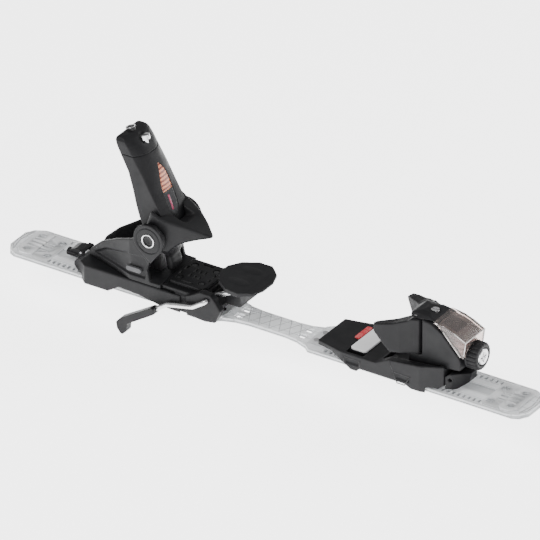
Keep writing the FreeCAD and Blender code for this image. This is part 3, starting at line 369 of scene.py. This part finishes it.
def slab(name, plane, outline, low, high):
    """A plate between two levels: plane names the two axes of the outline."""
    order = {"XY": (0, 1, 2), "XZ": (0, 2, 1), "YZ": (2, 0, 1)}[plane]
    return loft(name, [[tuple((a, b, level)[i] for i in order) for a, b in outline] for level in (low, high)])


def oblong(a_low, a_high, b_low, b_high):
    """The corners of an upright rectangle, in order."""
    return [(a_low, b_low), (a_high, b_low), (a_high, b_high), (a_low, b_high)]


def bevelled(piece, width, segments=3):
    bevel = piece.modifiers.new("bevel", "BEVEL")
    bevel.width = width * MM
    bevel.segments = segments
    bevel.limit_method = "ANGLE"
    bevel.angle_limit = math.radians(35)
    apply_modifiers(piece)
    return piece


def carved(piece, tool):
    """Takes one closed mesh out of another."""
    cut = piece.modifiers.new("carve", "BOOLEAN")
    cut.operation = "DIFFERENCE"
    cut.solver = "EXACT"
    cut.object = tool
    apply_modifiers(piece)
    bpy.data.objects.remove(tool)
    return piece


def joined(first, *others):
    """One object from several, all in the CAD's frame."""
    work = bmesh.new()
    work.from_mesh(first.data)
    for other in others:
        work.from_mesh(other.data)
        bpy.data.objects.remove(other)
    work.to_mesh(first.data)
    work.free()
    return first


def cad_copy(node):
    return new_object(node + "_copy", nodes[node].data.copy())


def rod(name, points, radius, sides=10):
    """A thin straight-run rib through points."""
    pieces = []
    for index, (start, end) in enumerate(zip(points, points[1:])):
        a, b = Vector(start), Vector(end)
        run = (b - a).normalized()
        across = run.orthogonal().normalized()
        other = run.cross(across)
        rings = []
        for spot in (a - run * radius * 0.5, b + run * radius * 0.5):
            ring = []
            for k in range(sides):
                angle = 2 * math.pi * k / sides
                ring.append(tuple(spot + radius * (across * math.cos(angle) + other * math.sin(angle))))
            rings.append(ring)
        pieces.append(loft("%s_%d" % (name, index), rings))
    return joined(*pieces)


# ---------------------------------------------------------------- heel lever

# Height, then the x of the rear face, of the front's side edges and of the front's middle.
LEVER_SHAPE = [
    (90, -157, -122.5, -121.5), (96, -160, -124.5, -123.5), (111, -164.5, -133, -130),
    (128, -168.5, -143, -139), (149, -174.5, -155, -147), (166, -183.5, -166, -155.5),
    (176, -188.5, -172, -162), (184, -191.5, -178, -169), (190, -193.5, -183, -175),
]
LEVER_START = 90
LEVER_HALF = 23.8
LEVER_CORNER = 3.2
FRONT_CURVE = 2.4
CAP_START = 168.6
CAP_GAP = 0.25
AXLE = (-138.0, 0.0, 81.0)
# The spring's bore starts at the lever's foot, leans along TILT and comes out through the cap.
TILT = Vector((-26.0, 0, 89.0)).normalized()
LEVER_FOOT = Vector((-142.0, 0, 97.0))
# The disc in the cap's top, and the way it faces.
CAP_DISC = Vector((-184.4, 0, 186.0))
CAP_AXIS = Vector((-0.30, 0, 0.954)).normalized()


def lever_at(z):
    """Rear, side-front and middle-front x of the lever at a height."""
    for below, above in zip(LEVER_SHAPE, LEVER_SHAPE[1:]):
        if below[0] <= z <= above[0]:
            part = (z - below[0]) / (above[0] - below[0])
            return [a + (b - a) * part for a, b in zip(below[1:], above[1:])]
    return list(LEVER_SHAPE[-1][1:])


def lever_front(z, y):
    """The x of the lever's front face at a height and a distance from the middle."""
    side, middle = lever_at(z)[1:]
    return middle + (side - middle) * (abs(y) / LEVER_HALF) ** FRONT_CURVE


def lever_ring(z, shrink=0.0):
    """The lever's outline at a height, drawn in by shrink."""
    rear = lever_at(z)[0] + shrink
    half = LEVER_HALF - shrink
    ring = []
    for k in range(-10, 11):
        y = half * k / 10
        ring.append((lever_front(z, y) - shrink, y, z))
    for sign in (1, -1):
        corner = []
        for k in range(7):
            angle = math.radians(90 * k / 6)
            corner.append((rear + LEVER_CORNER * (1 - math.sin(angle)),
                           sign * (half - LEVER_CORNER * (1 - math.cos(angle))), z))
        ring.extend(corner if sign > 0 else reversed(corner))
    return ring


def heel_lever():
    """The lofted shell on the CAD node's own hub, with a pocket for the leaf window."""
    levels = [LEVER_START + (CAP_START - CAP_GAP - LEVER_START) * k / 26 for k in range(27)]
    shell = loft("heel_lever_shell", [lever_ring(z) for z in levels])
    hub = cad_copy("heel_lever")
    above_hub = slab("hub_cut", "XZ", [(-200, 94), (-100, 94), (-100, 230), (-230, 230)], -40, 40)
    piece = joined(shell, carved(hub, above_hub))
    skin(piece, 0.7, 5)
    pocket = [leaf_ring(z, 1.3, 0.7) for z in LEAF_LEVELS]
    piece = carved(piece, loft("leaf_pocket", pocket))
    piece.name = "heel_lever_body"
    return finish_piece(piece, "heel_lever", "black_plastic", ["heel_lever"])


# The leaf-shaped window in the lever's front: height, left edge y and right edge y.
LEAF = [(99, -1.5, 1.5), (104, -7, 5), (112, -9, 8.5), (124, -8.5, 10.5), (136, -7, 10.5), (145, -4.5, 8.5),
        (151, -2.5, 5.0), (156, -0.8, 1.4)]
LEAF_LEVELS = [LEAF[0][0] + (LEAF[-1][0] - LEAF[0][0]) * k / 30 for k in range(31)]
LEAF_SPLIT = 125.0
STREAK_LOW = 105
STREAK_HIGH = 122


def leaf_edges(z):
    for below, above in zip(LEAF, LEAF[1:]):
        if below[0] <= z <= above[0]:
            part = (z - below[0]) / (above[0] - below[0])
            return [a + (b - a) * part for a, b in zip(below[1:], above[1:])]
    return list(LEAF[-1][1:])


def leaf_ring(z, depth, proud, inset=0.0):
    """A flat loop through the lever's front: proud of it on one side and sunk by depth on the other."""
    left, right = leaf_edges(z)
    left += inset
    right -= inset
    front = []
    back = []
    for k in range(9):
        y = left + (right - left) * k / 8
        front.append((lever_front(z, y) + proud, y, z))
        back.append((lever_front(z, y) - depth, y, z))
    return front + back[::-1]


def heel_window():
    """The leaf's striped upper half, its smoked lower half and the streak on that."""
    upper = [z for z in LEAF_LEVELS if z > LEAF_SPLIT]
    lower = [z for z in LEAF_LEVELS if z <= LEAF_SPLIT + 1]
    glass = loft("heel_window_leaf", [leaf_ring(z, 1.1, -0.5, 0.5) for z in upper])
    finish_piece(glass, "heel_lever", "clear_window", ["heel_window"], "copper_stripes")
    panel = loft("heel_window_panel", [leaf_ring(z, 1.1, -0.3, 0.4) for z in lower])
    finish_piece(panel, "heel_lever", "dark_gloss", [], "smoked_plate")
    streak = []
    for z in [z for z in LEAF_LEVELS if STREAK_LOW < z < STREAK_HIGH]:
        middle = -3.5 + (z - STREAK_LOW) * 0.12
        left = middle - 1.6
        right = middle + 1.2
        corners = ((left, -0.2), (right, -0.2), (right, -0.5), (left, -0.5))
        streak.append([(lever_front(z, y) + proud, y, z) for y, proud in corners])
    finish_piece(loft("heel_window_streak", streak), "heel_lever", "red_trim", [], "magenta_streak")


def heel_cap():
    """The cap on the lever's top, with the bore's mouth and the bright ring round its disc."""
    levels = [(CAP_START, 0), (171, 0), (175, 0), (179, 0), (183, 0.3), (185.4, 1.4), (186.8, 3.2),
              (187.6, 6.0)]
    cap = loft("heel_cap_shell", [lever_ring(z, shrink) for z, shrink in levels])
    skin(cap, 0.6, 3)
    cap = carved(cap, spun("cap_mouth", LEVER_FOOT, TILT, [(84, 6.4), (114, 6.4)]))
    cap.name = "heel_cap_body"
    finish_piece(cap, "heel_lever", "black_plastic", ["heel_lever_cap"])
    rim_profile = [(3.2, 4.6), (4.3, 4.6), (4.5, 5.1), (4.3, 5.6), (3.2, 5.6)]
    rim = spun("heel_cap_rim", CAP_DISC, CAP_AXIS, rim_profile, closed=True)
    finish_piece(rim, "heel_lever", "bright_steel", [])


heel_lever()
heel_window()
heel_cap()

# ---------------------------------------------------------------- axle, bosses and knob

RING = [(-40, 6.9), (-40, 7.7), (-39.4, 8.0), (39.4, 8.0), (40, 7.7), (40, 6.9), (39.2, 6.5), (-39.2, 6.5)]
axle_ring = lathe("heel_axle_ring", "Y", AXLE, RING, closed=True)
finish_piece(axle_ring, "heel_carriage", "bright_steel", ["heel_axle"])
for side in (-1, 1):
    plug_profile = [(20, 6.2), (37.4, 6.2), (38.0, 5.4), (37.0, 3.6), (36.6, 0.4)]
    plug = lathe("heel_axle_plug_%d" % (side + 1), "Y", AXLE, [(side * a, r) for a, r in plug_profile])
    finish_piece(plug, "heel_carriage", "dark_gloss", [])

KNOB = (250.0, 0.0, 46.0)
FLUTES = 20
FLUTE_DEPTH = 0.07


def knob_ripple(angle, along):
    """Finger flutes that fade out at the knob's collar."""
    depth = FLUTE_DEPTH if 3.0 < along < 14.4 else 0.0
    return 1 - depth * max(0.0, math.cos(FLUTES * angle)) ** 2


knob_profile = [(0.2, 14.0), (0.4, 15.6), (1.2, 16.0), (2.8, 16.0), (3.2, 15.6), (4.4, 15.9), (12.6, 15.9),
                (14.2, 15.0), (15.0, 13.4), (15.0, 11.2), (14.4, 10.0), (12.0, 9.7), (4.0, 9.7), (0.2, 9.7)]
knob = lathe("toe_knob_body", "X", KNOB, knob_profile, closed=True, steps=240, ripple=knob_ripple)
finish_piece(knob, "toe_knob", "black_plastic", ["toe_knob"])
insert_profile = [(-3, 3.6), (4.2, 3.8), (4.3, 9.4), (14.6, 9.4), (15.6, 8.8), (16.0, 8.0), (15.5, 6.6),
                  (15.9, 0.3)]
insert = lathe("toe_knob_centre", "X", KNOB, insert_profile)
SLOT_FLOOR = 263.2
for turn in (0, 1):
    wide, tall = (1.1, 6.0) if turn else (6.0, 1.1)
    low = KNOB[2] - tall
    high = KNOB[2] + tall
    cross = slab("insert_slot_%d" % turn, "YZ", oblong(-wide, wide, low, high), SLOT_FLOOR, 268)
    insert = carved(insert, cross)
finish_piece(insert, "toe_knob", "bright_steel", ["toe_knob_insert"])

# ---------------------------------------------------------------- moulded pieces

PAD_TOP = 33.5
SLOT_LOW = PAD_TOP - 2.6
SLOT_HIGH = PAD_TOP + 4
SKINS = {
    "toe_base": (0.8, 6), "toe_housing": (0.8, 7), "toe_top_cover": (0.6, 6), "toe_lock_lever": (0.6, 5),
    "right_wing": (0.7, 8), "left_wing": (0.7, 8),
    "right_wing_pad": (0.5, 3), "left_wing_pad": (0.5, 3), "afd_plate": (0.4, 4), "afd_carriage": (0.5, 2),
    "heel_track": (0.9, 6), "heel_frame": (0.8, 8), "boss_covers": (0.45, 3), "side_buttons": (0.35, 4),
    "heel_cup": (0.9, 70), "heel_lock_lever": (0.45, 3), "brake_housing": (0.8, 6),
    "brake_foot_right": (0.5, 7), "brake_foot_left": (0.5, 7), "pedal_clip": (0.6, 4),
}
for node, (voxel, rounds) in SKINS.items():
    rounded_copy(node, voxel, rounds)


def heel_pad():
    """The pad under the boot's heel, with two rows of slots and a trough at each side."""
    pad = cad_copy("heel_pad")
    skin(pad, 0.45, 4)
    for x in (-117, -105, -99, -93, -81):
        for y in (-5.5, 5.5):
            slot = slab("pad_slot", "XY", oblong(x - 1.5, x + 1.5, y - 4, y + 4), SLOT_LOW, SLOT_HIGH)
            pad = carved(pad, slot)
    for y in (-20.5, 20.5):
        trough = slab("pad_trough", "XY", oblong(-106, -92, y - 1.4, y + 1.4), SLOT_LOW, SLOT_HIGH)
        pad = carved(pad, trough)
    pad.name = "heel_pad_plate"
    return finish_piece(pad, "heel_carriage", "black_plastic", ["heel_pad"])


# The pedal's raised ovals: their middle, half length, half width, foot and rise, and the slope
# of the pedal's top that they follow.
DOME_X = -39
DOME_Y = 14
DOME_LONG = 20
DOME_WIDE = 10.5
DOME_FOOT = 48.4
DOME_RISE = 2.3
PEDAL_SLOPE = 0.028


def brake_pedal():
    """The foot plate with a low raised oval on each half."""
    plate = cad_copy("brake_pedal")
    for side in (-1, 1):
        dome = []
        for k in range(7):
            rise = k / 6
            size = math.sqrt(max(0.02, 1 - rise * rise))
            ring = []
            for i in range(48):
                angle = 2 * math.pi * i / 48
                fall = PEDAL_SLOPE * DOME_LONG * size * math.cos(angle)
                ring.append((DOME_X + DOME_LONG * size * math.cos(angle),
                             side * DOME_Y + DOME_WIDE * size * math.sin(angle),
                             DOME_FOOT + DOME_RISE * rise - fall))
            dome.append(ring)
        plate = joined(plate, loft("pedal_dome_%d" % side, dome))
    skin(plate, 0.5, 8)
    plate.name = "brake_pedal_plate"
    return finish_piece(plate, "brake_pedal", "black_plastic", ["brake_pedal"])


heel_pad()
brake_pedal()

# ---------------------------------------------------------------- details on the toe piece

# Raised outlines on each long side: x and height of their points.
SIDE_LINES = [
    [(168, 26.6), (172.4, 15.2), (177.6, 3), (187, 3), (194.6, 15.2), (172.4, 15.2)],
    [(109.6, 8.5), (109.6, 14.6), (130.6, 14.6), (130.6, 6)],
]
for side in (-1, 1):
    ribs = []
    for index, line in enumerate(SIDE_LINES):
        points = [(x, side * 34.5, z) for x, z in line]
        ribs.append(rod("side_line_%d_%d" % (side, index), points, 0.6))
    finish_piece(joined(*ribs), "toe_base", "black_plastic", [])

drum_profile = [(226, 4), (226.4, 12.6), (227, 13.2), (246, 13.2), (247, 12.4), (247.4, 4)]
drum = lathe("toe_drum", "X", (0, 0, 50), drum_profile)
finish_piece(drum, "toe_head", "copper_scale", ["toe_scale"], "pink_drum")
tinted_side = [(217.6, 77.2), (229.4, 76.6), (238.8, 73.0), (252.2, 66.8), (252.0, 66.0), (238.6, 72.2),
               (229.2, 75.8), (217.6, 76.4)]
tinted = slab("toe_tinted_top", "XZ", tinted_side, -16.6, 16.6)
finish_piece(bevelled(tinted, 0.2), "toe_head", "dark_gloss", [], "tinted_top")
smoked_side = [(219, 77.5), (229.5, 77.0), (239.0, 73.4), (239.0, 72.8), (229.5, 76.4), (219, 76.9)]
smoked = slab("toe_smoked_plate", "XZ", smoked_side, -12.5, 9)
finish_piece(bevelled(smoked, 0.15), "toe_head", "dark_gloss", [], "smoked_plate")

# Thick edges of the toe window: the slanted lower edge, the front and the top on each side,
# and a lip across the nose.
WINDOW_HALF = 19.0
for side in (-1, 1):
    y = side * WINDOW_HALF
    edge = rod("toe_window_edge_%d" % side, [(226.2, y, 72.9), (237, y, 61.1), (247.8, y, 49.3)], 0.7)
    front = rod("toe_window_front_%d" % side, [(252.4, y, 52), (254.6, y, 68.2), (240, y, 75.6)], 0.6)
    finish_piece(joined(edge, front), "toe_head", "clear_window", [], "clear_rim")
lip = rod("toe_window_lip", [(254.6, -WINDOW_HALF, 68.2), (254.6, WINDOW_HALF, 68.2)], 0.7)
finish_piece(lip, "toe_head", "clear_window", [], "clear_rim")

# ---------------------------------------------------------------- details on the rail plate

END_HOLES = [(x, y) for x in (284, 310) for y in (-15, 15)]
# Where each step of the end block starts, and how high it is: the lock levers and the worm
# pass over the first step at their limits.
BLOCK_STEPS = [(277, 6.0), (299, 8.4)]
for name, sign in (("front", 1), ("rear", -1)):
    steps = []
    for start, top in BLOCK_STEPS:
        outline = [(start, -23), (start + 4, -26), (313, -26), (320, -18), (320, 18), (313, 26),
                   (start + 4, 26), (start, 23)]
        block = slab("block_step", "XY", [(sign * x, y) for x, y in outline], 5.4, top)
        bevelled(block, 0.5)
        for x, y in END_HOLES:
            block = carved(block, lathe("block_hole", "Z", (sign * x, y, 0), [(4, 5.1), (12, 5.1)], steps=40))
        for y in (-7, 0, 7):
            slot = slab("block_slot", "XY", oblong(sign * 288, sign * 314, y - 1.6, y + 1.6), 4, 12)
            block = carved(block, slot)
        steps.append(block)
    finish_piece(joined(*steps), "ski_plate", "clear_plate", [], "mottled_plate").name = name + "_plate_block"
    ribs = []
    for index, inset in enumerate((1.2, 4.2)):
        far = 332 - inset
        half = 30.5 - inset
        end = half - 8 + inset * 0.4
        bend = half - 16
        path = [(324, -end), (far - 1.5, -bend), (far, 0), (far - 1.5, bend), (324, end)]
        path = [(sign * x, y, 5.6) for x, y in path]
        ribs.append(rod("%s_end_rib_%d" % (name, index), path, 0.6))
    # The end ribs carry painted shade: they are coloured grey.
    finish_piece(joined(*ribs), "ski_plate", "clear_plate", [], "plate_rib_shade")

# Crossed ribs on the connecting strip.
HATCH_LEVEL = 4.25
HATCH_PITCH = 13.0
HATCH_HALF = 13.0
hatch = []
for step in range(-3, 3):
    start = step * HATCH_PITCH
    for lean in (-1, 1):
        begin = (start, -lean * HATCH_HALF, HATCH_LEVEL)
        stop = (start + HATCH_PITCH, lean * HATCH_HALF, HATCH_LEVEL)
        hatch.append(rod("hatch_%d_%d" % (step, lean), [begin, stop], 0.45, 8))
# The crossed ribs carry painted shade: they are coloured grey.
finish_piece(joined(*hatch), "ski_plate", "clear_plate", [], "plate_rib_shade")

SPECIAL = {"connecting_strip": "clear_strip"}
for node, thing in nodes.items():
    thing.data.materials.clear()
    thing.data.materials.append(paint[SPECIAL.get(node, slot_of[node])])


# ---------------------------------------------------------------- floor, light and camera

FLOOR = -46.0
VIEW_WIDE = 580.6
CENTRE_RIGHT = -5.7
CENTRE_UP = 60.5
LENS = 1500.0
SENSOR = 36.0
FLOOR_GLOW = 3.4

floor_mesh = bpy.data.meshes.new("floor")
reach = 6.0
level = FLOOR * MM
floor_mesh.from_pydata([(-reach, -reach, level), (reach, -reach, level), (reach, reach, level),
                        (-reach, reach, level)], [], [(0, 1, 2, 3)])
floor = new_object("floor", floor_mesh)
floor_material, floor_tree, floor_shader = new_material("floor")
floor_stops = [(0.3, (0.90, 0.90, 0.90)), (0.7, (0.92, 0.92, 0.92))]
floor_tone = ramp_node(floor_tree, noise_node(floor_tree, 3, 3), floor_stops)
floor_tree.links.new(floor_tone, floor_shader.inputs["Base Color"])
floor_shader.inputs["Roughness"].default_value = 0.9
floor_shader.inputs["Emission Color"].default_value = (1, 1, 1, 1)
floor_shader.inputs["Emission Strength"].default_value = FLOOR_GLOW
floor.data.materials.append(floor_material)

world = bpy.data.worlds.new("studio")
bpy.context.scene.world = world
world.use_nodes = True
world.node_tree.nodes["Background"].inputs["Color"].default_value = (1, 1, 1, 1)
world.node_tree.nodes["Background"].inputs["Strength"].default_value = 0.5


def area_light(name, place, aim, size, watts):
    lamp = bpy.data.lights.new(name, "AREA")
    lamp.shape = "DISK"
    lamp.size = size
    lamp.energy = watts
    holder = bpy.data.objects.new(name, lamp)
    bpy.context.scene.collection.objects.link(holder)
    holder.location = place
    holder.rotation_euler = (Vector(aim) - Vector(place)).to_track_quat("-Z", "Y").to_euler()


area_light("key", (-0.5, -1.1, 1.7), (0, 0, 0.05), 1.3, 24)
area_light("rim", (0.9, 1.3, 1.1), (0, 0, 0.05), 1.0, 12)
area_light("front", (1.5, -1.3, 0.6), (0.1, 0, 0.05), 1.0, 9)

azimuth = math.radians(33)
elevation = math.radians(30)
right = Vector((math.cos(azimuth), math.sin(azimuth), 0))
towards = Vector((math.sin(azimuth) * math.cos(elevation), -math.cos(azimuth) * math.cos(elevation),
                  math.sin(elevation)))
up = towards.cross(right)
camera_data = bpy.data.cameras.new("camera")
camera_data.lens = LENS
camera_data.sensor_width = SENSOR
camera_data.clip_end = 100
camera = bpy.data.objects.new("camera", camera_data)
bpy.context.scene.collection.objects.link(camera)
centre = right * (CENTRE_RIGHT * MM) + up * (CENTRE_UP * MM)
place = centre + towards * (VIEW_WIDE * MM * LENS / SENSOR)
turn = Matrix((right, up, towards)).transposed().to_4x4()
camera.matrix_world = Matrix.Translation(place) @ turn
bpy.context.scene.camera = camera
